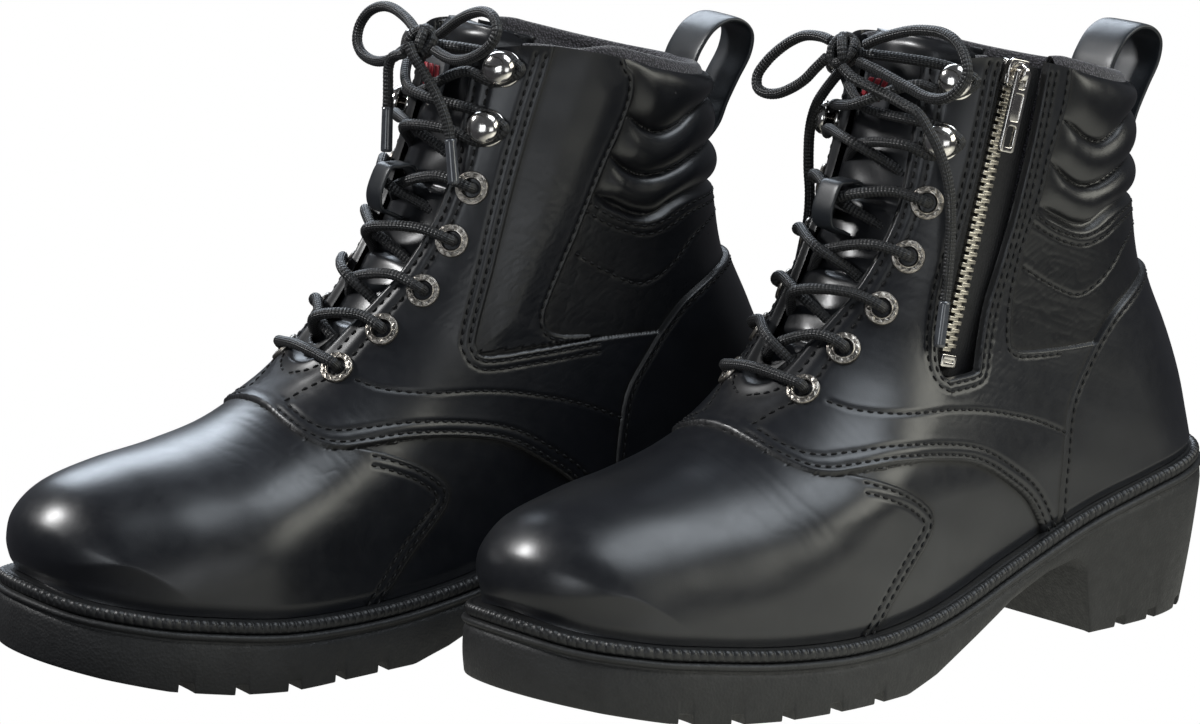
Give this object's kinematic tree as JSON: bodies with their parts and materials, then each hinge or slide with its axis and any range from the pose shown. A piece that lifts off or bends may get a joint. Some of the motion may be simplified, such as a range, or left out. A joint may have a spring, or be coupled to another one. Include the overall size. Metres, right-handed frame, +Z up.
{
  "type": "pair of lace-up boots",
  "caption": "Pair of black leather ankle boots with padded collar, front laces, a zip on the inner side, a lugged rubber sole and a block heel, standing one ahead of the other.",
  "frame": {"origin": "bottom centre of the box round both boots, on the ground, without the loose bows", "axes": "+Z up, toes along -Y, +X towards the wearer's left"},
  "size_m": [0.2396, 0.3952, 0.2196],
  "materials": {
    "leather": "glossy",
    "rubber": "matte",
    "lining_mesh": "matte",
    "board": "matte",
    "toe_steel": "satin",
    "badge_rubber": "matte",
    "nickel": "polished",
    "zip_metal": "polished",
    "lace_cord": "satin"
  },
  "bodies": {
    "left_boot": {"left_outsole": "rubber", "left_welt": "rubber", "left_insole_board": "board", "left_footbed": "lining_mesh", "left_toe_cap": "toe_steel", "left_heel_counter": "board", "left_vamp": "leather", "left_side_panel_inner": "leather", "left_side_panel_outer": "leather", "left_quarter_inner": "leather", "left_quarter_outer": "leather", "left_zip_facing": "leather", "left_shaft_panel": "leather", "left_heel_cover": "leather", "left_collar": "leather", "left_lining": "lining_mesh", "left_tongue": "leather", "left_tongue_badge": "badge_rubber", "left_lace_keeper": "leather", "left_eyelet_stay_inner": "nickel", "left_eyelet_stay_outer": "nickel", "left_pull_loop": "leather", "left_zip_chain": "zip_metal", "left_lace": "lace_cord", "left_lace_loop_inner": "lace_cord", "left_lace_loop_outer": "lace_cord", "left_lace_end_inner": "lace_cord", "left_lace_end_outer": "lace_cord"},
    "right_boot": {"right_outsole": "rubber", "right_welt": "rubber", "right_insole_board": "board", "right_footbed": "lining_mesh", "right_toe_cap": "toe_steel", "right_heel_counter": "board", "right_vamp": "leather", "right_side_panel_inner": "leather", "right_side_panel_outer": "leather", "right_quarter_inner": "leather", "right_quarter_outer": "leather", "right_zip_facing": "leather", "right_shaft_panel": "leather", "right_heel_cover": "leather", "right_collar": "leather", "right_lining": "lining_mesh", "right_tongue": "leather", "right_tongue_badge": "badge_rubber", "right_lace_keeper": "leather", "right_eyelet_stay_inner": "nickel", "right_eyelet_stay_outer": "nickel", "right_pull_loop": "leather", "right_zip_chain": "zip_metal", "right_lace": "lace_cord", "right_lace_loop_inner": "lace_cord", "right_lace_loop_outer": "lace_cord", "right_lace_end_inner": "lace_cord", "right_lace_end_outer": "lace_cord"},
    "left_zip_slider": {"left_zip_slider": "zip_metal"},
    "right_zip_slider": {"right_zip_slider": "zip_metal"},
    "left_zip_pull": {"left_zip_pull": "zip_metal"},
    "right_zip_pull": {"right_zip_pull": "zip_metal"}
  },
  "joints": [
    {"name": "right_boot_apart", "type": "slide", "parent": "left_boot", "child": "right_boot", "axis": [0, 0, 1], "range_m": [0, 0.3]},
    {"name": "right_zip_travel", "type": "slide", "parent": "right_boot", "child": "right_zip_slider", "axis": [-0.0261, -0.2613, -0.9649], "range_m": [0, 0.07]},
    {"name": "left_zip_travel", "type": "slide", "parent": "left_boot", "child": "left_zip_slider", "axis": [-0.01, -0.2624, -0.9649], "range_m": [0, 0.07]},
    {"name": "right_pull_swing", "type": "hinge", "parent": "right_zip_slider", "child": "right_zip_pull", "pos_m": [0.10032, 0.08938, 0.19839], "axis": [0, -0.9652, 0.2614], "range_deg": [0, 150]},
    {"name": "left_pull_swing", "type": "hinge", "parent": "left_zip_slider", "child": "left_zip_pull", "pos_m": [-0.08761, -0.00385, 0.19839], "axis": [0.1327, 0.9561, -0.2614], "range_deg": [0, 150]}
  ]
}
